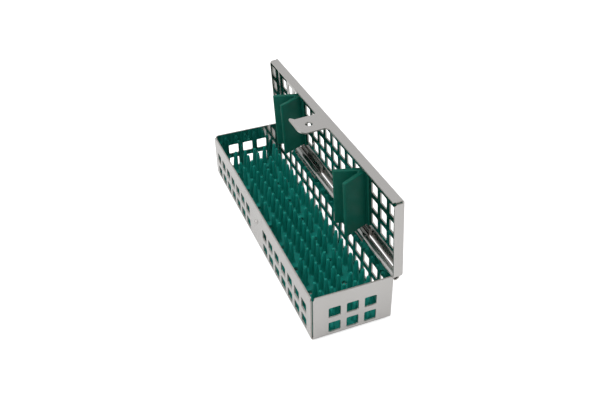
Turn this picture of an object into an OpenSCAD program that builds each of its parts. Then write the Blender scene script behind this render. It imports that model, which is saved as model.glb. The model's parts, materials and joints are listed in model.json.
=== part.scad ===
// Hinged instrument cassette: a perforated sheet tray, a perforated lid on a rolled pin hinge,
// a mat of soft fingers on the floor and two V-shaped holders inside the lid.
// X runs along the tray, the hinge is on +Y, the latch on -Y, and the floor stands on Z = 0.
// The lid is drawn shut and then turned back about the hinge pin by lid_open_deg.

/* [Tray] */
// Length of the tray, outside
tray_l = 170; // [150:1:220]
// Width of the tray, outside
tray_w = 45.5; // [44:0.5:70]
// Height of the tray's walls
tray_h = 29.5; // [26:0.5:45]
// Thickness of the sheet of the tray and the lid
sheet_t = 0.8; // [0.6:0.1:1]
// Inner radius of the folds between the floor and the walls
fold_r = 2.2; // [0.8:0.1:2.4]
// Slit that each wall leaves at a corner, short of its neighbour's inner face
corner_slit = 0.25; // [0.2:0.05:0.6]
// Distance from the back of the tray to the rear edge of its end walls
end_wall_inset = 0.5; // [0.3:0.05:0.8]
// Radius of the free corners of the walls
wall_corner_r = 2; // [1:0.1:2.5]

/* [Perforation] */
// Distance from hole to hole
hole_pitch = 10; // [9:0.5:11]
// Side of a square hole
hole_side = 6.7; // [4:0.1:7]
// Radius of a hole's corners
hole_corner_r = 0.8; // [0.4:0.1:1.2]
// Height of the lower row of holes in the walls
hole_row_z = 7; // [6:0.5:9]
// Rows of holes in each wall
wall_rows = 2; // [1:1:2]
// Plain margin from the last hole's centre to the end of the tray or the lid
hole_margin = 9.5; // [8:0.5:14]
// Half of the plain stretch round the latch stud, in which the front wall has no hole
plain_half = 10; // [8:0.5:12]
// Distance from the lid's front face to its first row of holes
lid_row_v = 13.8; // [12:0.1:15]

/* [Hinge] */
// Diameter of the hinge pin
pin_d = 2.7; // [1.9:0.1:2.7]
// Radial clearance of the pin in the rolled knuckles
pin_clear = 0.05; // [0.03:0.01:0.08]
// Length of the pin
pin_l = 156; // [144:1:206]
// Width of each of the lid's two hinge leaves
leaf_w = 33; // [20:1:36]
// Distance from the middle of the tray to the near side of a leaf
leaf_x = 17; // [12:1:20]
// Gap along the pin between one knuckle and the next
knuckle_gap = 0.4; // [0.3:0.1:0.8]
// Height of the rolled edge over the rim of the tray
roll_rise = 0.2; // [0:0.05:0.3]
// Angle that the tray's rolled edge leaves open
roll_open_deg = 75; // [60:5:110]
// Angle that a leaf's knuckle leaves open, below its own strip
leaf_open_deg = 50; // [45:5:80]
// Distance from the pin to the end of a leaf's strip on the lid's plate
leaf_reach = 5.5; // [4:0.1:7]
// Distance from the pin to the place where a leaf's strip meets the plate
leaf_step = 1.9; // [1.5:0.1:3]
// Height of the cut in the back wall below the lid's knuckles
notch_clear = 0.25; // [0.22:0.01:0.5]

/* [Lid] */
// Angle to which the lid is open
lid_open_deg = 87; // [0:1:110]
// Gap between the lid's end flanges and the tray's ends
lid_gap_x = 0.2; // [0.2:0.05:0.6]
// Gap between the lid's front flange and the tray's front wall
lid_gap_y = 0.87; // [0.85:0.01:1]
// Gap between the lid's plate and the rim of the tray
lid_gap_z = 0.61; // [0.6:0.01:0.8]
// Depth of the lid's flanges, over the plate
flange_h = 5.8; // [5:0.1:8]
// Inner radius of the lid's folds
lid_fold_r = 0.6; // [0.4:0.1:1]
// Radius of the flanges' free corners
flange_corner_r = 1.4; // [0.8:0.1:2]
// Distance by which the lid's rear edge runs past the back of the tray
rear_edge_over = 0.4; // [0:0.05:0.5]
// Distance from the back of the tray to the rear end of the end flanges
flange_rear_inset = 0.65; // [0.5:0.05:3]
// Radius of the rear top corner of the end flanges
flange_rear_r = 1.9; // [1:0.1:2.5]

/* [Latch] */
// Width of the latch tab
tab_w = 16.5; // [12:0.1:18]
// Distance from the lid's plate to the tip of the tab
tab_reach = 23; // [20:0.1:24]
// Radius of the fillets where the tab leaves the flange
tab_fillet_r = 2.2; // [1:0.1:3]
// Radius of the tab's tip corners
tab_corner_r = 2.4; // [1:0.1:4]
// Length of the finger lip at the tip, measured along the tab
lip_l = 4; // [3:0.1:5]
// Distance by which the lip's tip stands out from the tab
lip_out = 2.1; // [1.5:0.1:3]
// Diameter of the catch hole in the tab
catch_d = 4.4; // [4:0.1:6]
// Diameter of the latch stud on the front wall
stud_d = 3.4; // [2.6:0.1:3.8]
// Height of the latch stud's dome
stud_h = 1.2; // [0.9:0.05:1.2]
// Height of the latch stud above the floor
stud_z = 17.3; // [16:0.1:19]

/* [Finger mat] */
// Thickness of the mat's base sheet
mat_t = 1.8; // [1.2:0.1:3]
// Clearance between the mat and the walls and folds of the tray
mat_clear = 0.3; // [0.2:0.1:1]
// Height of the fingertips above the underside of the tray
finger_top_z = 15.6; // [10:0.1:15.6]
// Rows of fingers along the tray
finger_rows = 24; // [4:1:24]
// Fingers in a row
finger_cols = 6; // [2:1:6]
// Distance from row to row
finger_pitch_x = 7.05; // [5:0.05:7.05]
// Distance from finger to finger in a row
finger_pitch_y = 6.9; // [5:0.1:6.9]
// Diameter of a finger at its root
finger_root_d = 3.3; // [2.4:0.1:3.4]
// Diameter of a finger just below its round tip
finger_tip_d = 2.2; // [1.6:0.1:2.4]
// Diameter of the drain holes, each in the place of a finger
drain_d = 3.2; // [2:0.1:3.6]
// One row in this many has drain holes
drain_every = 3; // [2:1:6]
// Columns from a side of the mat to the column of fingers that has drain holes
drain_column = 1; // [0:1:2]

/* [Holders] */
// Columns of holes between an end of the lid and the one that holds a holder
holder_columns = 3; // [1:1:5]
// Distance from the lid's front face to a holder
holder_v = 6.6; // [5:0.1:8]
// Distance from a holder to the lid's rear edge
holder_rear = 6.5; // [5:0.1:9]
// Width of a holder's base strip
holder_base_w = 8.8; // [8.2:0.1:10]
// Thickness of a holder's base strip
holder_base_t = 1.2; // [1:0.1:2]
// Half of the holder's width at its root
holder_root_half = 1.8; // [1.4:0.1:2.6]
// Distance from the lid's inner face to the bottom of the groove
groove_z = 4.3; // [3:0.1:6]
// Radius of the bottom of the groove
groove_r = 0.9; // [0.6:0.1:1.2]
// Diameter of a fin's round tip
fin_tip_d = 2.2; // [1.4:0.1:2.6]
// Distance from the lid's outer face to the fins' tips
fin_reach = 15; // [11:0.1:15]
// Distance from the holder's middle to the centre of a fin's tip
fin_spread = 6.35; // [5.5:0.05:7]
// Diameter of the plugs through the lid's holes
plug_d = 6.2; // [3.4:0.1:6.4]
// Diameter of a plug's head
plug_head_d = 8.2; // [7.2:0.1:9]
// Thickness of a plug's head
plug_head_t = 0.9; // [0.6:0.1:1.5]

/* [Hidden] */
$fn = 32;

steel = [0.76, 0.76, 0.75];
pin_steel = [0.62, 0.62, 0.62];
silicone = [0.03, 0.36, 0.31];

// Room by which a cutting body runs past the faces that it cuts
over = 1;

half_l = tray_l / 2;
half_w = tray_w / 2;
fold_out_r = fold_r + sheet_t;

// The back wall's inner face runs into the roll at a tangent
roll_in_r = pin_d / 2 + pin_clear;
roll_r = roll_in_r + sheet_t;
axis_y = half_w - sheet_t + roll_r;
axis_z = tray_h + roll_rise - roll_r;

// The cut below a leaf's knuckle clears the roll where it faces the outer side of the back wall
notch_z = axis_z - sqrt(pow(roll_r + notch_clear, 2) - pow(axis_y - half_w, 2));

leaf_end = leaf_x + leaf_w;

// Ends of the walls at the corners, of the back wall's roll too
front_end = half_l - sheet_t - corner_slit;
side_end = half_w - sheet_t - corner_slit;
end_wall_end = half_w - end_wall_inset;

// The lid, shut
lid_in_z = tray_h + lid_gap_z;
lid_top = lid_in_z + sheet_t;
lid_low = lid_top - flange_h;
lid_in_x = half_l + lid_gap_x;
lid_x = lid_in_x + sheet_t;
lid_in_y = half_w + lid_gap_y;
lid_y = lid_in_y + sheet_t;
lid_out_r = lid_fold_r + sheet_t;
lid_rear_y = half_w + rear_edge_over;
flange_rear_y = half_w - flange_rear_inset;
tab_tip_z = lid_top - tab_reach;

// The holes: how many fit, and where they lie
long_count = 1 + floor(2 * (half_l - hole_margin) / hole_pitch);
side_count = 1 + floor(2 * (half_w - hole_margin) / hole_pitch);
long_x = [for (i = [0 : long_count - 1]) (i - (long_count - 1) / 2) * hole_pitch];
side_y = [for (i = [0 : side_count - 1]) (i - (side_count - 1) / 2) * hole_pitch];
row_z = [for (i = [0 : wall_rows - 1]) hole_row_z + i * hole_pitch];
lid_row_y = [for (i = [0 : side_count - 1]) lid_row_v - lid_y + i * hole_pitch];
holder_far_x = long_x[holder_columns];
holder_near_x = long_x[long_count - 1 - holder_columns];

// The mat
mat_z = sheet_t;
mat_top = mat_z + mat_t;
mat_half_l = half_l - sheet_t - mat_clear;
mat_half_w = half_w - sheet_t - mat_clear;
finger_tip_r = finger_tip_d / 2;
mat_fit_rows = min(finger_rows, 1 + floor((2 * mat_half_l - finger_root_d) / finger_pitch_x));
mat_fit_cols = min(finger_cols, 1 + floor((2 * mat_half_w - finger_root_d) / finger_pitch_y));
finger_x = [for (i = [0 : mat_fit_rows - 1]) (i - (mat_fit_rows - 1) / 2) * finger_pitch_x];
finger_y = [for (i = [0 : mat_fit_cols - 1]) (i - (mat_fit_cols - 1) / 2) * finger_pitch_y];

// Whether a drain hole takes the place of the finger in row i and column j
function is_drain(i, j) =
    i % drain_every == 1 && min(j, mat_fit_cols - 1 - j) == drain_column;

// Draws a flat shape in Y and Z and extends it along X, from x0 to x1
module along_x(x0, x1) {
    translate([x0, 0, 0]) rotate([90, 0, 90]) linear_extrude(x1 - x0) children();
}

// Draws a flat shape in X and Z and extends it along Y, from y0 to y1
module along_y(y0, y1) {
    translate([0, y1, 0]) rotate([90, 0, 0]) linear_extrude(y1 - y0) children();
}

// Square with round corners, centred
module round_square(side, r) {
    square([side, side - 2 * r], center = true);
    square([side - 2 * r, side], center = true);
    for (sx = [-1, 1], sy = [-1, 1])
        translate([sx * (side / 2 - r), sy * (side / 2 - r)]) circle(r);
}

// Upright rectangle from z = low to high whose two corners at low are round
module round_foot(half, low, high, r) {
    translate([-half, low + r]) square([2 * half, high - low - r]);
    translate([-half + r, low]) square([2 * (half - r), r]);
    for (s = [-1, 1]) translate([s * (half - r), low + r]) circle(r);
}

// Solid whose four walls are folded up from its floor with radius r
module folded_block(half_x, half_y, low, high, r) {
    intersection() {
        along_x(-half_x, half_x) round_foot(half_y, low, high, r);
        along_y(-half_y, half_y) round_foot(half_x, low, high, r);
    }
}

// What a convex corner at the origin loses when it is rounded, its body lying towards -x and -y
module corner_waste(r) {
    difference() {
        translate([-r, -r]) square(r + over);
        translate([-r, -r]) circle(r);
    }
}

// Section of a rolled edge: a ring open from start_deg, anticlockwise, by open_deg
module rolled_edge(start_deg, open_deg) {
    reach = 2 * roll_r;
    a0 = start_deg;
    a1 = start_deg + open_deg;
    difference() {
        circle(roll_r);
        circle(roll_in_r);
        polygon([[0, 0], [reach * cos(a0), reach * sin(a0)], [reach * cos(a1), reach * sin(a1)]]);
    }
}

// The stretches of the hinge that belong to the tray, as [x0, x1]
tray_knuckles = [
    [-front_end, -leaf_end - knuckle_gap / 2],
    [-leaf_x + knuckle_gap / 2, leaf_x - knuckle_gap / 2],
    [leaf_end + knuckle_gap / 2, front_end]
];

module tray_body() {
    difference() {
        folded_block(half_l, half_w, 0, tray_h, fold_out_r);
        folded_block(half_l - sheet_t, half_w - sheet_t, sheet_t, tray_h + over, fold_r);
        tray_corner_cuts();
        back_wall_cuts();
    }
    for (k = tray_knuckles)
        along_x(k[0], k[1]) translate([axis_y, axis_z]) rolled_edge(180, roll_open_deg);
}

// Slits between the walls, and the round free corners of the front wall and the ends
module tray_corner_cuts() {
    for (s = [0, 1]) mirror([s, 0, 0]) {
        translate([front_end, -half_w - over, -over])
            cube([sheet_t + corner_slit + over, half_w - side_end + over, tray_h + 2 * over]);
        translate([front_end, side_end, fold_out_r])
            cube([corner_slit, half_w - side_end + over, tray_h]);
        translate([front_end, end_wall_end, -over])
            cube([sheet_t + corner_slit + over, end_wall_inset + over, tray_h + 2 * over]);
        along_y(-half_w - over, -half_w + sheet_t + over)
            translate([front_end, tray_h]) corner_waste(wall_corner_r);
        along_x(half_l - sheet_t - over, half_l + over) {
            translate([end_wall_end, tray_h]) corner_waste(wall_corner_r);
            translate([-side_end, tray_h]) mirror([1, 0]) corner_waste(wall_corner_r);
        }
    }
}

// The back wall ends at the pin's height where it is rolled, and lower below each leaf
module back_wall_cuts() {
    translate([-front_end, side_end, axis_z]) cube([2 * front_end, half_w, tray_h]);
    for (s = [0, 1]) mirror([s, 0, 0])
        translate([leaf_x - knuckle_gap / 2, side_end, notch_z])
            cube([leaf_w + knuckle_gap, half_w, tray_h]);
}

module wall_holes() {
    for (z = row_z) {
        for (x = long_x) {
            along_y(half_w - sheet_t - over, half_w + over)
                translate([x, z]) round_square(hole_side, hole_corner_r);
            if (abs(x) > plain_half)
                along_y(-half_w - over, -half_w + sheet_t + over)
                    translate([x, z]) round_square(hole_side, hole_corner_r);
        }
        for (y = side_y, s = [0, 1]) mirror([s, 0, 0])
            along_x(half_l - sheet_t - over, half_l + over)
                translate([y, z]) round_square(hole_side, hole_corner_r);
    }
}

module floor_holes() {
    for (x = long_x, y = side_y)
        translate([x, y, -over]) linear_extrude(sheet_t + 2 * over)
            round_square(hole_side, hole_corner_r);
}

module tray_shell() {
    color(steel) difference() {
        tray_body();
        wall_holes();
        floor_holes();
    }
}

module hinge_pin() {
    color(pin_steel) translate([-pin_l / 2, axis_y, axis_z])
        rotate([0, 90, 0]) cylinder(h = pin_l, d = pin_d);
}

// Low dome on the front wall, turned about its own middle and given its width and height
module latch_stud() {
    dome_r = (pow(stud_d / 2, 2) + pow(stud_h, 2)) / (2 * stud_h);
    color(steel) translate([0, -half_w, stud_z]) rotate([90, 0, 0]) rotate_extrude() intersection() {
        translate([0, stud_h - dome_r]) circle(dome_r, $fn = 128);
        square([stud_d, stud_h + over]);
    }
}

// One soft finger, from its root in the mat to its round tip
module finger(x, y) {
    translate([x, y, mat_top]) {
        cylinder(h = finger_top_z - mat_top - finger_tip_r, d1 = finger_root_d, d2 = finger_tip_d);
        translate([0, 0, finger_top_z - mat_top - finger_tip_r]) sphere(finger_tip_r);
    }
}

// The mat's base sheet, rounded below along its edges as the folds of the tray are
module mat_sheet() {
    intersection() {
        folded_block(mat_half_l, mat_half_w, mat_z, mat_top + fold_r, fold_r);
        translate([-mat_half_l, -mat_half_w, mat_z]) cube([2 * mat_half_l, 2 * mat_half_w, mat_t]);
    }
}

module finger_mat() {
    color(silicone) {
        difference() {
            mat_sheet();
            for (i = [0 : mat_fit_rows - 1], j = [0 : mat_fit_cols - 1]) if (is_drain(i, j))
                translate([finger_x[i], finger_y[j], mat_z - over])
                    cylinder(h = mat_t + 2 * over, d = drain_d);
        }
        for (i = [0 : mat_fit_rows - 1], j = [0 : mat_fit_cols - 1])
            if (!is_drain(i, j)) finger(finger_x[i], finger_y[j]);
    }
}

// Turns what is drawn with the lid shut to where it lies with the lid open
module lid_frame() {
    translate([0, axis_y, axis_z]) rotate([-lid_open_deg, 0, 0]) translate([0, -axis_y, -axis_z]) children();
}

// Plate and flanges, folded from one sheet and open at the rear
module lid_fold() {
    difference() {
        translate([0, 0, lid_top]) mirror([0, 0, 1]) folded_block(lid_x, lid_y, 0, flange_h, lid_out_r);
        translate([0, 0, lid_in_z]) mirror([0, 0, 1])
            folded_block(lid_in_x, lid_in_y, 0, flange_h + over, lid_fold_r);
        lid_corner_cuts();
        lid_rear_cuts();
    }
}

// Slits between the front flange and the end flanges, and the flanges' round free corners
module lid_corner_cuts() {
    slit_x = lid_in_x - corner_slit;
    slit_y = lid_in_y - corner_slit;
    for (s = [0, 1]) mirror([s, 0, 0]) {
        translate([slit_x, -lid_y - over, lid_low - over])
            cube([sheet_t + corner_slit + over, lid_y - slit_y + over, flange_h - lid_out_r + over]);
        along_y(-lid_y - over, -lid_in_y + over)
            translate([slit_x, lid_low]) mirror([0, 1]) corner_waste(flange_corner_r);
        along_x(lid_in_x - over, lid_x + over)
            translate([-slit_y, lid_low]) mirror([1, 0]) mirror([0, 1]) corner_waste(flange_corner_r);
    }
}

// The plate ends over the hinge, and the end flanges end before it
module lid_rear_cuts() {
    translate([-lid_x - over, lid_rear_y, lid_low - over])
        cube([2 * (lid_x + over), lid_y, flange_h + 2 * over]);
    for (s = [0, 1]) mirror([s, 0, 0]) {
        translate([lid_in_x - lid_fold_r, flange_rear_y, lid_low - over])
            cube([lid_x, lid_y, flange_h + 2 * over]);
        along_x(lid_in_x - lid_fold_r, lid_x + over)
            translate([flange_rear_y, lid_top]) corner_waste(flange_rear_r);
    }
}

// The flat of the latch tab below the front flange, with its fillets, in X and Z
module tab_outline() {
    half = tab_w / 2;
    low = tab_tip_z + lip_l;
    translate([-half, low]) square([tab_w, lid_low - low + over]);
    for (s = [0, 1]) mirror([s, 0]) difference() {
        translate([half, lid_low - tab_fillet_r]) square(tab_fillet_r);
        translate([half + tab_fillet_r, lid_low - tab_fillet_r]) circle(tab_fillet_r);
    }
}

// Section of the finger lip, in Y and Z: it is bent away from the tray
module lip_section() {
    bend = atan(lip_out / lip_l);
    kink_z = tab_tip_z + lip_l;
    polygon([[-lid_in_y, kink_z], [-lid_in_y - lip_out, tab_tip_z],
             [-lid_in_y - lip_out - sheet_t * cos(bend), tab_tip_z + sheet_t * sin(bend)],
             [-lid_y, kink_z + sheet_t * tan(bend / 2)]]);
}

module latch_tab() {
    half = tab_w / 2;
    difference() {
        union() {
            along_y(-lid_y, -lid_in_y) tab_outline();
            along_x(-half, half) lip_section();
        }
        for (s = [0, 1]) mirror([s, 0, 0])
            along_y(-lid_y - lip_out - over, -lid_in_y + over)
                translate([half, tab_tip_z]) mirror([0, 1]) corner_waste(tab_corner_r);
    }
}

module lid_holes() {
    for (x = long_x, y = lid_row_y)
        translate([x, y, lid_in_z - over]) linear_extrude(sheet_t + 2 * over)
            round_square(hole_side, hole_corner_r);
}

module lid_shell() {
    color(steel) lid_frame() difference() {
        union() {
            lid_fold();
            latch_tab();
        }
        lid_holes();
        translate([0, -lid_in_y + over, stud_z])
            rotate([90, 0, 0]) cylinder(h = sheet_t + 2 * over, d = catch_d);
    }
}

// A leaf: a strip below the plate that rolls round behind the pin and up again in front of it
module hinge_leaf(x_mid) {
    w = leaf_w - knuckle_gap;
    plate = lid_in_z - axis_z;
    color(steel) lid_frame() along_x(x_mid - w / 2, x_mid + w / 2) translate([axis_y, axis_z]) {
        translate([-leaf_reach, plate - sheet_t]) square([leaf_reach - leaf_step, sheet_t]);
        polygon([[-leaf_step, plate - sheet_t], [0, roll_in_r], [0, roll_r], [-leaf_step, plate]]);
        rolled_edge(90, leaf_open_deg);
    }
}

module hinge_leaf_far() { hinge_leaf(-(leaf_x + leaf_w / 2)); }

module hinge_leaf_near() { hinge_leaf(leaf_x + leaf_w / 2); }

// Angle from upright of the line through p that touches a round tip at q on the right or the left
function touch_angle(p, q, r, side) =
    atan2(q[0] - p[0], q[1] - p[1]) + side * asin(r / norm(q - p));

// Section of a holder in X and Z, the lid's inner face at z = 0 and the fins standing up in a V
module holder_section() {
    tip_r = fin_tip_d / 2;
    tip = [fin_spread, fin_reach - sheet_t - tip_r];
    groove = [0, groove_z + groove_r];
    out = touch_angle([holder_root_half, 0], tip, tip_r, 1);
    in = touch_angle(groove, tip, tip_r + groove_r, -1);
    touch = groove + groove_r * [cos(in), -sin(in)];
    translate([-holder_base_w / 2, 0]) square([holder_base_w, holder_base_t]);
    for (s = [0, 1]) mirror([s, 0]) {
        translate(tip) circle(tip_r);
        difference() {
            polygon([[0, 0], [holder_root_half, 0], tip + tip_r * [cos(out), -sin(out)], tip,
                     tip - tip_r * [cos(in), -sin(in)], touch, [0, touch[1]]]);
            translate(groove) circle(groove_r);
        }
    }
}

// A holder: a strip with two fins, held by plugs through the column of holes below it
module holder(x_mid) {
    y0 = holder_v - lid_y;
    y1 = lid_rear_y - holder_rear;
    color(silicone) lid_frame() translate([x_mid, 0, lid_in_z]) mirror([0, 0, 1]) {
        along_y(y0, y1) holder_section();
        for (y = lid_row_y) translate([0, y, -sheet_t - plug_head_t]) {
            cylinder(h = plug_head_t, d = plug_head_d);
            cylinder(h = plug_head_t + sheet_t + holder_base_t / 2, d = plug_d);
        }
    }
}

module holder_far() { holder(holder_far_x); }

module holder_near() { holder(holder_near_x); }

tray_shell();
hinge_pin();
latch_stud();
finger_mat();
lid_shell();
hinge_leaf_far();
hinge_leaf_near();
holder_far();
holder_near();
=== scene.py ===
"""Looks of a small hinged instrument cassette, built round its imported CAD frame.

The sheet-metal pieces are copies of the CAD solids with broken edges, a satin skin and cut edges of
their own. The mat of soft fingers and the two holders are modelled here as mouldings.
"""

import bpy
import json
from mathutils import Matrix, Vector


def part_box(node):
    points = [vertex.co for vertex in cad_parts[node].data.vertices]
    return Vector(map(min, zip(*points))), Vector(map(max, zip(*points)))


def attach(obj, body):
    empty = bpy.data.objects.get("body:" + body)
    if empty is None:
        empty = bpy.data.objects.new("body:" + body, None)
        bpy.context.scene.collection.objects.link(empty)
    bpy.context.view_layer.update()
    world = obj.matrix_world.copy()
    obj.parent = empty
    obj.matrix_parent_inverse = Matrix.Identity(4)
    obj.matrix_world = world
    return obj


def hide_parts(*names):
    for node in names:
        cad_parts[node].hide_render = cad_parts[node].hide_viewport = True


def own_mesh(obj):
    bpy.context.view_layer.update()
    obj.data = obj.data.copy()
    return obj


bl_info = {
    "name": "Instrument cassette looks",
    "version": (1, 0, 0),
    "blender": (4, 5, 0),
    "location": "View3D > Sidebar > Cassette",
    "description": "Dresses the packed frame of a hinged instrument cassette",
    "category": "Object",
}

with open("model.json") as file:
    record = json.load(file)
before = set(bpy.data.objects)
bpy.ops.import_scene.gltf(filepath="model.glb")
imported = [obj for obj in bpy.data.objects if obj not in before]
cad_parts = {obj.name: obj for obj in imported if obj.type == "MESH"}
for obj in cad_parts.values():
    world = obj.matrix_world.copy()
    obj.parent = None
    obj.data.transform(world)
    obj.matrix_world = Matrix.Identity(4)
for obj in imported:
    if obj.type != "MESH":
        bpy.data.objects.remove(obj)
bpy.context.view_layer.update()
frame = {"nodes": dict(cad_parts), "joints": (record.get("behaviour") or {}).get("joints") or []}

import json
import math

import bmesh
import bpy
from mathutils import Euler, Matrix, Vector

MM = 0.001
NODES = frame["nodes"]
HINGE = frame["joints"][0]
AXIS_Y, AXIS_Z = HINGE["pos_m"][1], HINGE["pos_m"][2]

# The tray's outside, from the frame: its front and its underside are in the lowest corner
TRAY_LOW, TRAY_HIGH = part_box("tray_shell")
TRAY_HALF_L = TRAY_HIGH.x
TRAY_HALF_W = -TRAY_LOW.y
MAT_LOW, MAT_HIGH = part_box("finger_mat")

# The turn about the hinge from the frame's rest, where the lid stands open, to where it is shut
HINGE_AT = Vector((0, AXIS_Y, AXIS_Z))
SHUT = math.radians(HINGE["range_deg"][1])
TO_SHUT = Matrix.Translation(HINGE_AT) @ Matrix.Rotation(SHUT, 4, "X") @ Matrix.Translation(-HINGE_AT)
TO_REST = TO_SHUT.inverted()

# A distance beyond every piece, in metres
FAR = 1.0

# Corners of the CAD's loose triangles that lie nearer than this are one corner
SAME_POINT = 0.0005 * MM

# Turns from one face to the next: up to SAME_FLAT the two are one flat face, and up to SMOOTH one round
# surface. A corner past MOULDED_CORNER or SHEET_CORNER is rounded off, and one past CUT_CORNER may bound
# a cut edge of the sheet.
SAME_FLAT = math.radians(0.3)
SMOOTH = math.radians(30)
MOULDED_CORNER = math.radians(40)
SHEET_CORNER = math.radians(50)
CUT_CORNER = math.radians(60)

# Scales of the noises in the materials, in cells to the metre
CLOUDS = 45.0
ROLLING_LINES = 160.0
SLOW_WAVES = 30.0
SHEAR_GRAIN = 900.0
BLOOM = 140.0
PITS = 1400.0

# How much the steel's colour and its roughness stray
MOTTLE = 0.04
ROUGHNESS_SPREAD = 0.2

# The rolling lines: their noise is drawn out along X, and they are this deep beside the slow waves
DRAWN_OUT = (0.06, 1.0, 1.0)
LINE_DEPTH = 0.05

# The pin's wire beside the outer skin, the dark of a cut edge's grain beside its pale, and their finish
WIRE_SHADE = 0.85
CUT_SHADE = 0.72
CUT_ROUGHNESS = (0.30, 0.52)

# The silicone: the bloom starts and is full at these values of its noise and covers at most this share,
# the roughness strays by this much either way, and the light's red, green and blue go this far in shares
BLOOM_RANGE = (0.35, 0.85)
MOST_BLOOM = 0.55
SMOOTHER, ROUGHER = 0.06, 0.08
PIT_STRENGTH = 0.6
LIGHT_REACH = (0.25, 1.0, 0.8)
SILICONE_IOR = 1.41

# How far a finger has tapered at some levels, as shares of its height and of its whole taper
TAPER = ((0.3, 0.12), (0.55, 0.3), (0.75, 0.6))

# A finger's lean grows with its height to this power
LEAN_CURVE = 1.8

# Sides of the round forms, and the length of the punch that makes a drain hole
FINGER_SIDES = 14
DRAIN_SIDES = 24
PLUG_SIDES = 24
PUNCH_LENGTH = 8 * MM


def millimetres(name, default, description, low=0.0, high=1000.0):
    """A length property in metres whose default is given in millimetres."""
    return bpy.props.FloatProperty(
        name=name, default=default * MM, description=description,
        min=low * MM, max=high * MM, unit="LENGTH", precision=5,
    )


def colour(name, default, description):
    """A linear colour property."""
    return bpy.props.FloatVectorProperty(
        name=name, default=default, description=description,
        subtype="COLOR", size=3, min=0.0, max=1.0,
    )


def share(name, default, description, high=1.0):
    """A plain factor from 0 to high."""
    return bpy.props.FloatProperty(name=name, default=default, description=description, min=0.0, max=high)


def count(name, default, description, low=0):
    """A whole number from low on."""
    return bpy.props.IntProperty(name=name, default=default, description=description, min=low)


def place(name, default, description, subtype="TRANSLATION"):
    """A place in metres, or a turn in radians."""
    return bpy.props.FloatVectorProperty(
        name=name, default=default, description=description, subtype=subtype, size=3,
    )


class SheetLooks(bpy.types.PropertyGroup):
    """Sizes and finish of the sheet-metal pieces"""

    thickness: millimetres("Sheet", 0.8, "Thickness of the sheet")
    lip: millimetres("Lip", 2.1, "How far the latch tab's lip stands out from the tab")
    broken_edge: millimetres("Broken edge", 0.07, "Width by which the cut edges are broken")
    skin: colour("Outer skin", (0.60, 0.585, 0.57), "Colour of the rolled skin outside")
    bright: colour("Inner skin", (0.58, 0.575, 0.56), "Colour of the polished skin inside")
    cut: colour("Cut edge", (0.58, 0.56, 0.53), "Colour of the punched and sheared edges")
    # The leaves' colour is painted shade and reflection: darker and a little greener than the other skins,
    # for the dark green reflections and the shaded crevice along the hinge.
    painted_leaf_shade: colour("Leaf skin with painted shade", (0.42, 0.43, 0.415), "Colour of the leaves, which slide past the tray's roll")
    tint: colour("Heat tint", (0.36, 0.15, 0.04), "Colour of the heat tint at the welds")
    tint_size: millimetres("Heat tint size", 1.3, "Radius of the heat tint round a weld")
    weld_back: millimetres("Weld back", 1.9, "How far behind the pin's middle a leaf's welds lie")
    weld_up: millimetres("Weld up", 1.6, "How far above the pin's middle a leaf's welds lie")
    roughness: share("Outer roughness", 0.24, "Roughness of the rolled skin outside")
    polish: share("Inner roughness", 0.07, "Roughness of the polished skin inside")
    leaf: share("Leaf roughness", 0.14, "Roughness of the leaves")
    ripple: millimetres("Ripple", 0.008, "Height of the slow waves in the sheet")


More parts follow.
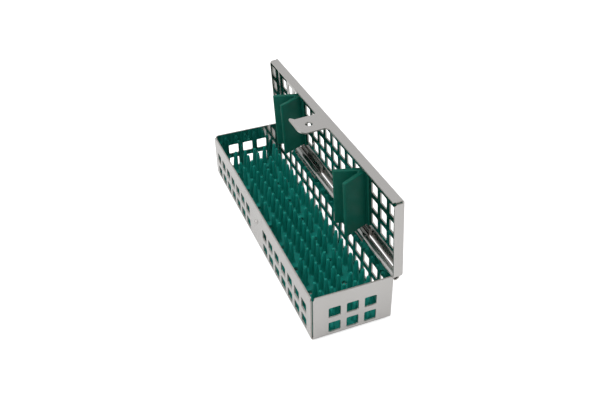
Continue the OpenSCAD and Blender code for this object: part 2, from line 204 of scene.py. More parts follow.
class SiliconeLooks(bpy.types.PropertyGroup):
    """Sizes and finish of the silicone mouldings"""

    body: colour("Body", (0.005, 0.235, 0.190), "Colour of the mat's silicone")
    haze: colour("Haze", (0.022, 0.300, 0.255), "Colour of the bloom on the mat")
    # The holders' colours are partly their silicone's own and partly painted shade: much darker than the
    # mat's, for the shadow on the near fin's outer face.
    fin: colour("Fin", (0.001, 0.095, 0.064), "Colour of the holders' silicone")
    fin_haze: colour("Fin haze", (0.006, 0.130, 0.100), "Colour of the bloom on the holders")
    gloss: share("Gloss", 0.22, "Strength of the skin's reflection")
    roughness: share("Roughness", 0.42, "Roughness of the moulded skin")
    depth: share("Translucency", 0.25, "Share of the light that goes through the skin")
    light_depth: millimetres("Light depth", 1.6, "How far light goes into the silicone")
    pit_depth: millimetres("Pit depth", 0.02, "Depth of the fine pits in the moulded skin")
    rows: count("Rows", 24, "Rows of fingers along the tray", low=1)
    columns: count("Columns", 6, "Fingers in a row", low=1)
    row_pitch: millimetres("Row pitch", 7.05, "Distance from row to row")
    column_pitch: millimetres("Column pitch", 6.9, "Distance from finger to finger in a row")
    sheet_top: millimetres("Mat top", 2.6, "Height of the mat's sheet above the table")
    foot: millimetres("Foot radius", 2.2, "Radius of the mat's lower edges, which lie in the tray's folds")
    mat_edge: millimetres("Mat edge", 0.3, "Width by which the mat's upper edges are rounded off")
    root: millimetres("Root", 3.3, "Diameter of a finger at its root")
    flare: millimetres("Flare", 0.45, "Radius of the flare between a finger's root and the mat")
    tip: millimetres("Tip", 1.9, "Diameter of a finger below its round tip")
    finger_extra: millimetres("Free finger", 0.7, "How far a free finger reaches past the CAD's")
    lean: millimetres("Lean", 0.7, "How far a fingertip may stray from its root")
    seed: count("Seed", 7, "Seed of the fingers' lean")
    drain: millimetres("Drain", 3.2, "Diameter of the mat's drain holes")
    drain_every: count("Drain rows", 3, "One row in this many has drain holes", low=2)
    drain_column: count("Drain column", 1, "Columns from a side to the one with drain holes")
    strip: millimetres("Strip", 1.2, "Thickness of a holder's base strip")
    root_half: millimetres("Holder root", 1.8, "Half of a holder's width at its root")
    groove_floor: millimetres("Groove floor", 4.3, "Distance from the lid to the bottom of a groove")
    groove_round: millimetres("Groove radius", 0.9, "Radius of the bottom of a groove")
    fin_tip: millimetres("Fin tip", 2.2, "Diameter of a fin's round tip")
    fin_edge: millimetres("Fin edge", 0.4, "Radius of the moulded edges at a holder's ends")
    fin_extra: millimetres("Free fin", 1.8, "How far a free fin reaches past the CAD's")
    pressed: share("Pressed fin", 0.84, "Share of a fin's reach that is left where the joint's range ends")
    head: millimetres("Plug head", 0.9, "Thickness of a plug's head behind the lid")
    head_round: millimetres("Plug head edge", 0.3, "Radius of the edge of a plug's head")
    plug: millimetres("Plug", 6.2, "Diameter of a plug where it goes through the lid")
    plug_head: millimetres("Plug head diameter", 8.2, "Diameter of a plug's head")
    plug_pitch: millimetres("Plug pitch", 10.0, "Distance from plug to plug")


class StudioLooks(bpy.types.PropertyGroup):
    """Camera, floor and lights"""

    lens: bpy.props.FloatProperty(name="Lens", default=42.73, description="Focal length for a 36 mm sensor")
    eye: place("Eye", (0.31893, -0.11665, 0.27105), "Place of the camera")
    aim: place("Aim", (0.947, 0.018, 1.193), "Turn of the camera", subtype="EULER")
    sky: share("Sky", 0.80, "Strength of the even studio light", high=5.0)
    far_sky: share("Far sky", 0.80, "Light from beyond the tray's far end, as a share of the rest")
    lamp_at: place("Lamp place", (0.0, -0.20, 0.60), "Place of the soft lamp overhead")
    lamp_size: millimetres("Lamp size", 550.0, "Side of the square lamp")
    lamp: share("Lamp power", 1.6, "Power of the soft lamp overhead, in watts", high=100.0)
    floor: colour("Floor", (0.80, 0.80, 0.80), "Colour of the floor")
    floor_half: millimetres("Floor half", 3000.0, "Half of the floor's side", high=10000.0)
    glow: share("Floor glow", 0.62, "What the floor adds where the camera sees it")
    mirrored: share("Mirrored glow", 0.04, "What the floor adds where metal or glass shows it")


class NodeSheet:
    """Short hand for placing and joining nodes in one tree."""

    def __init__(self, tree):
        self.tree = tree

    def add(self, kind, **settings):
        """A new node with its settings."""
        node = self.tree.nodes.new(kind)
        self.change(node, **settings)
        return node

    def change(self, node, **settings):
        """Sets the node's property of each keyword's name, or its input where it has no such property."""
        for key, value in settings.items():
            if hasattr(node, key):
                setattr(node, key, value)
            else:
                self.give(value, node.inputs[key.replace("_", " ")])

    def give(self, value, socket):
        """Joins an output socket to an input socket, or sets the input to a value."""
        if isinstance(value, bpy.types.NodeSocket):
            self.tree.links.new(value, socket)
        else:
            socket.default_value = value

    def maths(self, operation, *values, clamp=False):
        """The outcome of an operation on numbers and output sockets."""
        node = self.add("ShaderNodeMath", operation=operation, use_clamp=clamp)
        for value, socket in zip(values, node.inputs):
            self.give(value, socket)
        return node.outputs[0]


def new_material(name):
    """A material with an empty Principled surface, its node sheet and that shader."""
    material = bpy.data.materials.new(name)
    material.use_nodes = True
    sheet = NodeSheet(material.node_tree)
    shader = material.node_tree.nodes["Principled BSDF"]
    return material, sheet, shader


def object_noise(sheet, scale, stretch=(1.0, 1.0, 1.0), detail=3.0):
    """Noise in object space, stretched along the axes. Returns its factor output."""
    where = sheet.add("ShaderNodeTexCoord")
    mapping = sheet.add("ShaderNodeMapping", Vector=where.outputs["Object"], Scale=stretch)
    noise = sheet.add("ShaderNodeTexNoise", Vector=mapping.outputs["Vector"], Scale=scale, Detail=detail)
    return noise.outputs["Fac"]


def mapped(sheet, source, low, high, start=0.0, end=1.0):
    """The source taken from the range start to end onto low to high."""
    ranges = {"From_Min": start, "From_Max": end, "To_Min": low, "To_Max": high}
    return sheet.add("ShaderNodeMapRange", Value=source, **ranges).outputs["Result"]


def mixed_colour(sheet, factor, first, second):
    """A colour between two, each given as a colour or an output socket."""
    node = sheet.add("ShaderNodeMix", data_type="RGBA", Factor=factor)
    for value, label in ((first, "A"), (second, "B")):
        if not isinstance(value, bpy.types.NodeSocket):
            value = (*value, 1.0)
        sheet.give(value, node.inputs[label])
    return node.outputs["Result"]


def shaded(base, factor):
    """A colour made darker or paler."""
    return tuple(min(1.0, part * factor) for part in base)


def bump(sheet, height, distance, **settings):
    """The normal output of a bump of that depth."""
    return sheet.add("ShaderNodeBump", Height=height, Distance=distance, **settings).outputs["Normal"]


def steel_skin(name, looks, base, roughness, welds=()):
    """Stainless skin: slow ripples, fine rolling lines along X and a heat tint round each weld."""
    material, sheet, shader = new_material(name)
    cloud = object_noise(sheet, CLOUDS)
    skin = mixed_colour(sheet, cloud, shaded(base, 1 - MOTTLE), shaded(base, 1 + MOTTLE))
    for weld in welds:
        skin = mixed_colour(sheet, weld_halo(sheet, weld, looks.tint_size), skin, looks.tint)
    lines = object_noise(sheet, ROLLING_LINES, stretch=DRAWN_OUT, detail=2.0)
    spread = roughness * ROUGHNESS_SPREAD
    slow = bump(sheet, object_noise(sheet, SLOW_WAVES, detail=0.0), looks.ripple, Strength=1.0)
    fine = bump(sheet, lines, looks.ripple * LINE_DEPTH, Strength=1.0, Normal=slow)
    sheet.change(
        shader, Metallic=1.0, Base_Color=skin, Normal=fine,
        Roughness=mapped(sheet, lines, roughness - spread, roughness + spread),
    )
    return material


def weld_halo(sheet, centre, radius):
    """A soft round spot, strongest within a fifth of the radius and 0 from the radius on."""
    strongest, heart = 0.9, radius * 0.2
    where = sheet.add("ShaderNodeTexCoord")
    apart = sheet.add("ShaderNodeVectorMath", operation="DISTANCE")
    sheet.give(where.outputs["Object"], apart.inputs[0])
    sheet.give(centre, apart.inputs[1])
    return mapped(sheet, apart.outputs["Value"], strongest, 0.0, start=heart, end=radius)


def cut_edge(name, looks):
    """Punched and sheared edges: a little brown and rougher than the skin, with a fine grain."""
    material, sheet, shader = new_material(name)
    grain = object_noise(sheet, SHEAR_GRAIN)
    sheet.change(
        shader, Metallic=1.0, Base_Color=mixed_colour(sheet, grain, shaded(looks.cut, CUT_SHADE), looks.cut),
        Roughness=mapped(sheet, grain, *CUT_ROUGHNESS),
    )
    return material


def silicone(name, looks, body, haze):
    """Moulded silicone of a colour, with cloudy patches of bloom and fine pits."""
    material, sheet, shader = new_material(name)
    cloud = object_noise(sheet, BLOOM, detail=4.0)
    bloom = mapped(sheet, cloud, 0.0, MOST_BLOOM, *BLOOM_RANGE)
    pits = object_noise(sheet, PITS, detail=2.0)
    sheet.change(
        shader, Base_Color=mixed_colour(sheet, bloom, body, haze), IOR=SILICONE_IOR,
        Roughness=mapped(sheet, cloud, looks.roughness - SMOOTHER, looks.roughness + ROUGHER),
        Subsurface_Weight=looks.depth, Subsurface_Radius=LIGHT_REACH, Subsurface_Scale=looks.light_depth,
        Specular_IOR_Level=looks.gloss, Normal=bump(sheet, pits, looks.pit_depth, Strength=PIT_STRENGTH),
    )
    return material


def link(name, data):
    """A new object at the origin."""
    made = bpy.data.objects.new(name, data)
    bpy.context.scene.collection.objects.link(made)
    return made


def mesh_data(name, mesh, smooth=False):
    """A new mesh with the faces that were built, which are then freed."""
    for face in mesh.faces:
        face.smooth = smooth
    data = bpy.data.meshes.new(name)
    mesh.to_mesh(data)
    mesh.free()
    return data


def bridge(mesh, low, high):
    """Walls from one closed ring of corners to the next."""
    for k in range(len(low)):
        after = (k + 1) % len(low)
        mesh.faces.new((low[k], low[after], high[after], high[k]))


def bevel_edges(made, label, width, segments, corner):
    """A bevel along the edges that turn more than corner."""
    bevel = made.modifiers.new(label, "BEVEL")
    bevel.width = width
    bevel.segments = segments
    bevel.limit_method = "ANGLE"
    bevel.angle_limit = corner
    return bevel


def finished(name, made):
    """The object's modifiers turned into a plain mesh."""
    bpy.context.view_layer.update()
    evaluated = made.evaluated_get(bpy.context.evaluated_depsgraph_get())
    mesh = bpy.data.meshes.new_from_object(evaluated)
    made.modifiers.clear()
    made.data = mesh
    mesh.name = name
    return made


def welded_copy(node):
    """A CAD node's mesh with its loose triangles joined and its flat faces made whole."""
    mesh = bmesh.new()
    mesh.from_mesh(NODES[node].data)
    bmesh.ops.remove_doubles(mesh, verts=mesh.verts, dist=SAME_POINT)
    bmesh.ops.dissolve_limit(
        mesh, angle_limit=SAME_FLAT, use_dissolve_boundaries=False,
        verts=mesh.verts, edges=mesh.edges,
    )
    return mesh


def mark_cut_edges(mesh, thickness):
    """Gives material slot 1 to the cut edges: narrow faces whose short way is the sheet's thickness.

    A punched or sheared face joins two skins, so two of its long edges turn sharply, and the distance
    between them is the thickness of the sheet.
    """
    widest = thickness * 1.05
    for face in mesh.faces:
        sharp = [edge for edge in face.edges if edge.calc_face_angle(0) > CUT_CORNER]
        if len(sharp) < 2:
            continue
        length = sum(edge.calc_length() for edge in sharp) / 2
        if length > 0 and face.calc_area() / length < widest:
            face.material_index = 1


def mark_inner_skin(mesh, low, high, turn):
    """Gives material slot 2 to the skins whose middle lies between low and high, once turned."""
    for face in mesh.faces:
        if face.material_index == 0:
            middle = turn @ face.calc_center_median()
            if all(a < m < b for a, m, b in zip(low, middle, high)):
                face.material_index = 2


def dress_sheet(node, name, body, looks, materials, inside=None, turn=Matrix()):
    """A CAD sheet's copy with broken edges, which stands for it.

    Where inside gives two corners, the skin between them, once turned, is the bright inner one.
    """
    mesh = welded_copy(node)
    mark_cut_edges(mesh, looks.thickness)
    if inside:
        mark_inner_skin(mesh, *inside, turn)
    data = mesh_data(name, mesh, smooth=True)
    data.set_sharp_from_angle(angle=SMOOTH)
    for material in materials:
        data.materials.append(material)
    made = link(name, data)
    bevel_edges(made, "Broken edges", looks.broken_edge, 2, SHEET_CORNER)
    even = made.modifiers.new("Even normals", "WEIGHTED_NORMAL")
    even.keep_sharp = True
    even.weight = 100
    finished(name, made)
    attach(made, body)
    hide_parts(node)


def shut_corners(node):
    """The corners of one of the lid's CAD nodes when the lid is shut."""
    return [TO_SHUT @ vert.co for vert in NODES[node].data.vertices]


def box_round(corners):
    """The lowest and the highest corner round some corners."""
    low = Vector(min(corner[axis] for corner in corners) for axis in range(3))
    high = Vector(max(corner[axis] for corner in corners) for axis in range(3))
    return low, high


class CASSETTE_OT_sheets(bpy.types.Operator):
    """Dresses the tray, the lid and the two hinge leaves"""

    bl_idname = "cassette.sheets"
    bl_label = "Sheet metal"

    def execute(self, context):
        looks = context.scene.cassette_sheet
        outer = steel_skin("rolled_skin", looks, looks.skin, looks.roughness)
        edge = cut_edge("cut_steel", looks)
        inner = steel_skin("polished_skin", looks, looks.bright, looks.polish)
        half = looks.thickness / 2
        high = Vector((TRAY_HALF_L - half, TRAY_HALF_W - half, FAR))
        in_tray = (Vector((-high.x, -high.y, half)), high)
        dress_sheet("tray_shell", "tray", "tray", looks, [outer, edge, inner], in_tray)
        low, top = box_round(shut_corners("lid_shell"))
        front = low.y + looks.lip + looks.thickness + half
        in_lid = (Vector((low.x + half, front, -FAR)), Vector((top.x - half, FAR, top.z - half)))
        dress_sheet("lid_shell", "lid", "lid", looks, [outer, edge, inner], in_lid, TO_SHUT)
        for node, name in (("hinge_leaf_far", "leaf_far"), ("hinge_leaf_near", "leaf_near")):
            low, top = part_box(node)
            welds = [(x, AXIS_Y + looks.weld_back, AXIS_Z + looks.weld_up) for x in (low.x, top.x)]
            # The leaves' darker colour is painted shade and reflection, for the hinge's crevice and what it
            # mirrors
            tinted = steel_skin(f"{name}_skin", looks, looks.painted_leaf_shade, looks.leaf, welds)
            dress_sheet(node, name, "lid", looks, [tinted, edge])
        return {"FINISHED"}


class CASSETTE_OT_pin(bpy.types.Operator):
    """Finishes the hinge pin and the latch stud"""

    bl_idname = "cassette.pin"
    bl_label = "Pin and stud"

    def execute(self, context):
        looks = context.scene.cassette_sheet
        wire = steel_skin("drawn_wire", looks, shaded(looks.skin, WIRE_SHADE), looks.roughness)
        dome = steel_skin("stud_steel", looks, looks.skin, looks.roughness)
        for node, material in (("hinge_pin", wire), ("latch_stud", dome)):
            NODES[node].data.materials.clear()
            NODES[node].data.materials.append(material)
        return {"FINISHED"}


def lathe(name, profile, sides):
    """A closed solid turned about Z from (radius, height) points, which start and end on the axis."""
    mesh = bmesh.new()
    turns = [2 * math.pi * k / sides for k in range(sides)]
    rings = []
    for radius, height in profile[1:-1]:
        rings.append([mesh.verts.new((radius * math.cos(a), radius * math.sin(a), height)) for a in turns])
    first = mesh.verts.new((0, 0, profile[0][1]))
    last = mesh.verts.new((0, 0, profile[-1][1]))
    for k in range(sides):
        after = (k + 1) % sides
        mesh.faces.new((first, rings[0][after], rings[0][k]))
        mesh.faces.new((last, rings[-1][k], rings[-1][after]))
    for low, high in zip(rings, rings[1:]):
        bridge(mesh, low, high)
    return mesh_data(name, mesh, smooth=True)


def finger_profile(looks, height):
    """Points of one finger: a root that flares into the mat, a slow then a quick taper, a round tip."""
    root, tip, flare = looks.root / 2, looks.tip / 2, looks.flare
    flare_steps, tip_rings = 3, 5
    points = [(0.0, -flare)]
    for step in range(flare_steps + 1):
        turn = math.pi / 2 * step / flare_steps
        points.append((root + flare * (1 - math.sin(turn)), flare * (1 - math.cos(turn))))
    for level, tapered in TAPER:
        points.append((root + (tip - root) * tapered, height * level))
    # The last ring stays short of the pole, which is a point of its own
    for ring in range(tip_rings):
        turn = math.pi / 2 * ring / (tip_rings - 0.4)
        points.append((tip * math.cos(turn), height - tip + tip * math.sin(turn)))
    points.append((0.0, height))
    return points


def finger_places(sheet, given):
    """A grid with a point for each finger or drain hole, at the height of the mat's sheet."""

    def span(number, pitch):
        """Length from the first to the last of a number of places."""
        return sheet.maths("MULTIPLY", sheet.maths("SUBTRACT", given[number], 1.0), given[pitch])

    grid = sheet.add(
        "GeometryNodeMeshGrid", Vertices_X=given["Rows"], Vertices_Y=given["Columns"],
        Size_X=span("Rows", "Row Pitch"), Size_Y=span("Columns", "Column Pitch"),
    )
    lift = sheet.add("ShaderNodeCombineXYZ", Z=given["Sheet Top"])
    raised = sheet.add("GeometryNodeSetPosition", Geometry=grid.outputs["Mesh"], Offset=lift.outputs[0])
    return raised.outputs["Geometry"]


def drain_choice(sheet, given):
    """Whether a point of the grid is a drain hole's place: in its row and in its column."""
    step = sheet.maths
    index = sheet.add("GeometryNodeInputIndex").outputs[0]
    row = step("FLOOR", step("DIVIDE", step("ADD", index, 0.5), given["Columns"]))
    column = step("SUBTRACT", index, step("MULTIPLY", row, given["Columns"]))
    other = step("SUBTRACT", step("SUBTRACT", given["Columns"], 1.0), column)
    from_row = step("SUBTRACT", step("MODULO", row, given["Drain Every"]), 1.0)
    in_row = step("LESS_THAN", step("ABSOLUTE", from_row), 0.5)
    from_column = step("SUBTRACT", step("MINIMUM", column, other), given["Drain Column"])
    in_column = step("LESS_THAN", step("ABSOLUTE", from_column), 0.5)
    return step("MULTIPLY", in_row, in_column)


def pierced_sheet(sheet, given, places, drain):
    """The sheet that comes in, with a round hole through it at each drain's place."""
    punch = sheet.add(
        "GeometryNodeMeshCylinder", Vertices=DRAIN_SIDES, Radius=given["Drain Radius"], Depth=PUNCH_LENGTH
    )
    punches = sheet.add(
        "GeometryNodeInstanceOnPoints", Points=places, Selection=drain, Instance=punch.outputs["Mesh"]
    )
    real = sheet.add("GeometryNodeRealizeInstances", Geometry=punches.outputs["Instances"])
    pierced = sheet.add("GeometryNodeMeshBoolean", operation="DIFFERENCE", Mesh_1=given["Geometry"])
    sheet.give(real.outputs["Geometry"], pierced.inputs["Mesh 2"])
    return pierced.outputs["Mesh"]


def standing_fingers(sheet, given, places, drain, template):
    """A copy of the template at each place without a drain, with a stray way of its own to lean."""
    finger = sheet.add("GeometryNodeObjectInfo", Object=template)
    placed = sheet.add(
        "GeometryNodeInstanceOnPoints", Points=places, Selection=sheet.maths("SUBTRACT", 1.0, drain),
        Instance=finger.outputs["Geometry"],
    )
    stray = sheet.add(
        "FunctionNodeRandomValue", data_type="FLOAT_VECTOR",
        Min=(-1.0, -1.0, 0.0), Max=(1.0, 1.0, 0.0), Seed=given["Seed"],
    )
    kept = sheet.add(
        "GeometryNodeStoreNamedAttribute", data_type="FLOAT_VECTOR", domain="INSTANCE",
        Geometry=placed.outputs["Instances"], Name="stray", Value=stray.outputs[0],
    )
    real = sheet.add("GeometryNodeRealizeInstances", Geometry=kept.outputs["Geometry"])
    return real.outputs["Geometry"]


def leant_fingers(sheet, given, fingers):
    """The fingers moved along their stray way, the more the higher a point lies."""
    where = sheet.add("GeometryNodeInputPosition")
    parts = sheet.add("ShaderNodeSeparateXYZ", Vector=where.outputs[0])
    above = sheet.maths("SUBTRACT", parts.outputs["Z"], given["Sheet Top"])
    level = sheet.maths("DIVIDE", above, given["Finger Height"], clamp=True)
    reach = sheet.maths("MULTIPLY", sheet.maths("POWER", level, LEAN_CURVE), given["Lean"])
    stray = sheet.add("GeometryNodeInputNamedAttribute", data_type="FLOAT_VECTOR", Name="stray")
    shift = sheet.add("ShaderNodeVectorMath", operation="SCALE", Scale=reach)
    sheet.give(stray.outputs["Attribute"], shift.inputs[0])
    leant = sheet.add("GeometryNodeSetPosition", Geometry=fingers, Offset=shift.outputs[0])
    return leant.outputs["Geometry"]


def finger_tree(template, material):
    """Geometry nodes that set a field of fingers on the sheet that comes in, and make one mesh."""
    tree = bpy.data.node_groups.new("Finger field", "GeometryNodeTree")
    lengths = ("Row Pitch", "Column Pitch", "Sheet Top", "Finger Height", "Lean", "Drain Radius")
    counts = ("Rows", "Columns", "Drain Every", "Drain Column", "Seed")
    tree.interface.new_socket("Geometry", in_out="OUTPUT", socket_type="NodeSocketGeometry")
    for labels, kind in ((("Geometry",), "Geometry"), (counts, "Int"), (lengths, "Float")):
        for label in labels:
            tree.interface.new_socket(label, in_out="INPUT", socket_type=f"NodeSocket{kind}")
    sheet = NodeSheet(tree)
    given = sheet.add("NodeGroupInput").outputs
    places = finger_places(sheet, given)
    drain = drain_choice(sheet, given)
    fingers = leant_fingers(sheet, given, standing_fingers(sheet, given, places, drain, template))
    both = sheet.add("GeometryNodeJoinGeometry")
    sheet.give(fingers, both.inputs["Geometry"])
    sheet.give(pierced_sheet(sheet, given, places, drain), both.inputs["Geometry"])
    painted = sheet.add("GeometryNodeSetMaterial", Geometry=both.outputs["Geometry"], Material=material)
    sheet.add("NodeGroupOutput", Geometry=painted.outputs["Geometry"])
    return tree


def set_inputs(modifier, values):
    """Sets a geometry modifier's inputs by their names."""
    for item in modifier.node_group.interface.items_tree:
        if item.item_type == "SOCKET" and item.in_out == "INPUT" and item.name in values:
            modifier[item.identifier] = values[item.name]


class CASSETTE_OT_mat(bpy.types.Operator):
    """Moulds the finger mat"""

    bl_idname = "cassette.mat"
    bl_label = "Finger mat"

    def execute(self, context):
        looks = context.scene.cassette_silicone
        material = silicone("mat_silicone", looks, looks.body, looks.haze)
        height = MAT_HIGH.z + looks.finger_extra - looks.sheet_top
        finger = lathe("finger_template", finger_profile(looks, height), FINGER_SIDES)
        template = link("finger_template", finger)
        mat = link("finger_mat_moulding", self.base_sheet(looks))
        field = mat.modifiers.new("Fingers", "NODES")
        field.node_group = finger_tree(template, material)
        set_inputs(field, {
            "Rows": looks.rows, "Columns": looks.columns,
            "Row Pitch": looks.row_pitch, "Column Pitch": looks.column_pitch,
            "Sheet Top": looks.sheet_top, "Finger Height": height,
            "Lean": looks.lean, "Seed": looks.seed, "Drain Radius": looks.drain / 2,
            "Drain Every": looks.drain_every, "Drain Column": looks.drain_column,
        })
        finished("finger_mat_moulding", mat)
        bpy.data.objects.remove(template)
        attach(mat, "tray")
        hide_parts("finger_mat")
        return {"FINISHED"}

    def base_sheet(self, looks):
        """The mat's sheet, rounded below as the tray's folds are, its upper edges rounded off."""
        radius, edge, top = looks.foot, looks.mat_edge, looks.sheet_top
        turns = [math.radians(12 * k) for k in range(7)]
        foot = [(MAT_LOW.z + radius * (1 - math.cos(a)), radius * (1 - math.sin(a))) for a in turns]
        levels = [(z, inset) for z, inset in foot if z < top - edge]
        levels += [(top - edge, 0.0), (top - edge * 0.3, edge * 0.3), (top, edge)]
        mesh = bmesh.new()
        rings = []
        for z, inset in levels:
            x, y = MAT_HIGH.x - inset, MAT_HIGH.y - inset
            corners = ((-x, -y, z), (x, -y, z), (x, y, z), (-x, y, z))
            rings.append([mesh.verts.new(corner) for corner in corners])
        mesh.faces.new(reversed(rings[0]))
        mesh.faces.new(rings[-1])
        for low, high in zip(rings, rings[1:]):
            bridge(mesh, low, high)
        return mesh_data("mat_sheet", mesh)


def arc(centre, radius, start, end, steps):
    """Points of an arc, with angles from +X, in radians."""
    return [
        centre + radius * Vector((math.cos(a), math.sin(a)))
        for a in (start + (end - start) * k / steps for k in range(steps + 1))
    ]


def touch_angle(start, tip, radius, side):
    """Angle from upright of the line through start that touches a round tip on one side."""
    way = tip - start
    return math.atan2(way.x, way.y) + side * math.asin(radius / way.length)


def holder_outline(looks, half_base, half_width, depth):
    """Right half of a holder's section, from the middle of its underside to the groove's bottom."""
    radius = looks.fin_tip / 2
    tip = Vector((half_width - radius, depth - radius))
    root = Vector((looks.root_half, 0))
    groove = Vector((0, looks.groove_floor + looks.groove_round))
    out = touch_angle(root, tip, radius, 1)
    inner = touch_angle(groove, tip, radius + looks.groove_round, -1)
    rise = Vector((math.sin(out), math.cos(out))) * (looks.strip / math.cos(out))
    points = [Vector((0, 0)), Vector((half_base, 0)), Vector((half_base, looks.strip)), root + rise]
    points += arc(tip, radius, -out, math.pi - inner, steps=10)
    points += arc(groove, looks.groove_round, -inner, -math.pi / 2, steps=6)
    return points


def plug_profile(looks, sheet):
    """A plug behind the lid: its round head and the neck that goes through to the strip."""
    head, neck, edge = looks.plug_head / 2, looks.plug / 2, looks.head_round
    back = -sheet - looks.head
    points = [(0.0, back), (head - edge, back)]
    for turn in (0.5, 1.0, math.pi / 2):
        points.append((head - edge + edge * math.sin(turn), back + edge - edge * math.cos(turn)))
    points += [(head, -sheet), (neck, -sheet), (neck, looks.strip / 2), (0.0, looks.strip / 2)]
    return points


class CASSETTE_OT_holders(bpy.types.Operator):
    """Moulds the two V holders in the lid"""

    bl_idname = "cassette.holders"
    bl_label = "Holders"

    def execute(self, context):
        looks = context.scene.cassette_silicone
        sheet = context.scene.cassette_sheet.thickness
        # The holders' darker colours are partly painted shade, for the shadow on the near fin's outer face
        material = silicone("holder_silicone", looks, looks.fin, looks.fin_haze)
        for node, name in (("holder_far", "v_holder_far"), ("holder_near", "v_holder_near")):
            corners = shut_corners(node)
            low, high = box_round(corners)
            seat = Vector(((low.x + high.x) / 2, 0, high.z - sheet - looks.head))
            fins = self.fins(looks, name, corners, seat)
            plugs = self.plugs(looks, f"{name}_plugs", corners, seat, sheet)
            for made in (fins, plugs):
                made.data.materials.append(material)
                made.data.transform(TO_REST)
                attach(made, "lid")
                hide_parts(node)
            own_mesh(fins)
        return {"FINISHED"}

    def fins(self, looks, name, corners, seat):
        """The strip and its two fins, with the lid shut, the edges at its ends rounded."""
        low, high = box_round(corners)
        depth = seat.z - low.z + looks.fin_extra
        # The strip is what the CAD's holder has just inside the lid's inner face
        reach = looks.strip + 0.4 * MM
        strip = [corner for corner in corners if seat.z - reach < corner.z < seat.z]
        strip_low, strip_high = box_round(strip)
        right = holder_outline(looks, strip_high.x - seat.x, high.x - seat.x, depth)
        points = right + [Vector((-p.x, p.y)) for p in reversed(right[1:-1])]
        mesh = bmesh.new()
        front, back = (
            [mesh.verts.new((seat.x + p.x, y, seat.z - p.y)) for p in points]
            for y in (strip_low.y, strip_high.y)
        )
        mesh.faces.new(front)
        mesh.faces.new(reversed(back))
        bridge(mesh, back, front)
        bmesh.ops.recalc_face_normals(mesh, faces=mesh.faces)
        made = link(name, mesh_data(name, mesh, smooth=True))
        bevel = bevel_edges(made, "Moulded edges", looks.fin_edge, 3, MOULDED_CORNER)
        bevel.harden_normals = True
        return finished(name, made)

    def plugs(self, looks, name, corners, seat, sheet):
        """Three plugs that hold the strip through the lid's holes, with the lid shut."""
        outside = seat.z + sheet + 0.1 * MM
        heads_low, heads_high = box_round([corner for corner in corners if corner.z > outside])
        middle = (heads_low.y + heads_high.y) / 2
        mesh = bmesh.new()
        plug = lathe("plug", plug_profile(looks, sheet), PLUG_SIDES)
        for k in (-1, 0, 1):
            hole = Matrix.Translation((seat.x, middle + k * looks.plug_pitch, seat.z))
            turned = plug.copy()
            turned.transform(hole @ Matrix.Rotation(math.pi, 4, "X"))
            mesh.from_mesh(turned)
            bpy.data.meshes.remove(turned)
        bpy.data.meshes.remove(plug)
        return link(name, mesh_data(name, mesh, smooth=True))


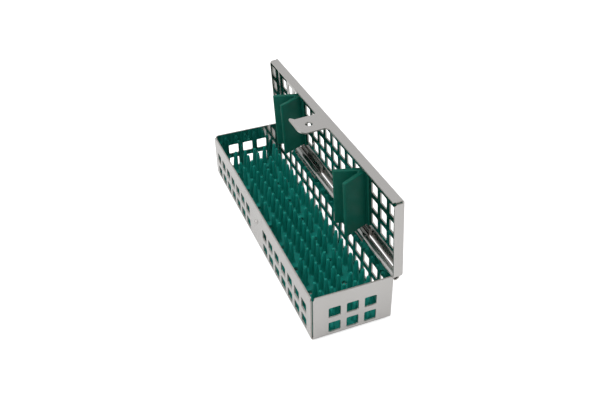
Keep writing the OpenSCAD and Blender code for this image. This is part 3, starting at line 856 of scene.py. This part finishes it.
class CASSETTE_OT_studio(bpy.types.Operator):
    """Sets the floor, the lights and the camera"""

    bl_idname = "cassette.studio"
    bl_label = "Studio"

    def execute(self, context):
        looks = context.scene.cassette_studio
        context.scene.view_settings.view_transform = "Standard"
        self.floor(looks)
        self.sky(context.scene, looks)
        self.lamp(looks)
        self.camera(context.scene, looks)
        return {"FINISHED"}

    def floor(self, looks):
        """A wide pale floor that shows white to the camera, save under the tray, and keeps a soft shadow."""
        half = looks.floor_half
        data = bpy.data.meshes.new("studio_floor")
        corners = [(-half, -half, 0), (half, -half, 0), (half, half, 0), (-half, half, 0)]
        data.from_pydata(corners, [], [(0, 1, 2, 3)])
        made = link("studio_floor", data)
        material, sheet, shader = new_material("studio_floor")
        sheet.change(shader, Base_Color=(*looks.floor, 1.0), Roughness=0.9, Specular_IOR_Level=0.0)
        path = sheet.add("ShaderNodeLightPath").outputs
        seen = mapped(sheet, path["Is Camera Ray"], 0.0, looks.glow)
        mirror = sheet.maths("MAXIMUM", path["Is Glossy Ray"], path["Is Transmission Ray"])
        level = sheet.maths(
            "ADD", sheet.maths("MULTIPLY", seen, self.beside_tray(sheet)),
            mapped(sheet, mirror, 0.0, looks.mirrored),
        )
        glow = sheet.add("ShaderNodeEmission", Strength=level)
        total = sheet.add("ShaderNodeAddShader")
        sheet.give(shader.outputs[0], total.inputs[0])
        sheet.give(glow.outputs[0], total.inputs[1])
        sheet.change(sheet.tree.nodes["Material Output"], Surface=total.outputs[0])
        data.materials.append(material)

    def beside_tray(self, sheet):
        """0 under the tray and 1 on the rest of the floor, fading just inside the tray's outline."""
        fade = 2 * MM
        where = sheet.add("ShaderNodeTexCoord")
        parts = sheet.add("ShaderNodeSeparateXYZ", Vector=where.outputs["Object"])
        past = []
        for axis, half in (("X", TRAY_HALF_L), ("Y", TRAY_HALF_W)):
            apart = sheet.maths("ABSOLUTE", parts.outputs[axis])
            past.append(mapped(sheet, apart, 0.0, 1.0, start=half - 2 * fade, end=half - fade))
        return sheet.maths("MAXIMUM", *past)

    def sky(self, scene, looks):
        """Light from all round, weaker from beyond the tray's far end, and white to the camera."""
        world = bpy.data.worlds.new("studio")
        scene.world = world
        world.use_nodes = True
        sheet = NodeSheet(world.node_tree)
        way = sheet.add("ShaderNodeTexCoord")
        parts = sheet.add("ShaderNodeSeparateXYZ", Vector=way.outputs["Generated"])
        # A direction's X is -1 straight beyond the far end
        lit = mapped(sheet, parts.outputs["X"], looks.sky * looks.far_sky, looks.sky, start=-1.0, end=0.1)
        seen = sheet.add("ShaderNodeLightPath").outputs["Is Camera Ray"]
        level = sheet.add("ShaderNodeMix", data_type="FLOAT", Factor=seen, A=lit, B=1.0).outputs["Result"]
        sheet.change(world.node_tree.nodes["Background"], Color=(1.0, 1.0, 1.0, 1.0), Strength=level)

    def lamp(self, looks):
        """A square soft lamp overhead that points at the middle of the tray."""
        data = bpy.data.lights.new("overhead", "AREA")
        data.size = looks.lamp_size
        data.energy = looks.lamp
        made = link("overhead", data)
        made.location = looks.lamp_at
        made.rotation_euler = (-Vector(looks.lamp_at)).to_track_quat("-Z", "Y").to_euler()

    def camera(self, scene, looks):
        """The camera at the photograph's place, for a frame of three by two."""
        data = bpy.data.cameras.new("eye")
        data.sensor_width = 36.0
        data.lens = looks.lens
        data.clip_start = 0.01
        data.clip_end = 20.0
        made = link("eye", data)
        made.location = looks.eye
        made.rotation_euler = Euler(looks.aim, "XYZ")
        scene.camera = made


class CASSETTE_PT_panel(bpy.types.Panel):
    """Lists the cassette's steps and their settings"""

    bl_label = "Cassette"
    bl_space_type = "VIEW_3D"
    bl_region_type = "UI"
    bl_category = "Cassette"

    def draw(self, context):
        for name, label, group in GROUPS:
            box = self.layout.box()
            box.label(text=label)
            for key in group.__annotations__:
                box.prop(getattr(context.scene, name), key)
        for operator in OPERATORS:
            self.layout.operator(operator.bl_idname)


OPERATORS = (
    CASSETTE_OT_sheets,
    CASSETTE_OT_pin,
    CASSETTE_OT_mat,
    CASSETTE_OT_holders,
    CASSETTE_OT_studio,
)
GROUPS = (
    ("cassette_sheet", "Sheet metal", SheetLooks),
    ("cassette_silicone", "Silicone", SiliconeLooks),
    ("cassette_studio", "Studio", StudioLooks),
)


def register():
    for name, label, group in GROUPS:
        bpy.utils.register_class(group)
        setattr(bpy.types.Scene, name, bpy.props.PointerProperty(type=group))
    for operator in OPERATORS:
        bpy.utils.register_class(operator)
    bpy.utils.register_class(CASSETTE_PT_panel)


def unregister():
    bpy.utils.unregister_class(CASSETTE_PT_panel)
    for operator in reversed(OPERATORS):
        bpy.utils.unregister_class(operator)
    for name, label, group in reversed(GROUPS):
        delattr(bpy.types.Scene, name)
        bpy.utils.unregister_class(group)


def main():
    register()
    bpy.ops.cassette.sheets()
    bpy.ops.cassette.pin()
    bpy.ops.cassette.mat()
    bpy.ops.cassette.holders()
    bpy.ops.cassette.studio()


if __name__ == "__main__":
    main()
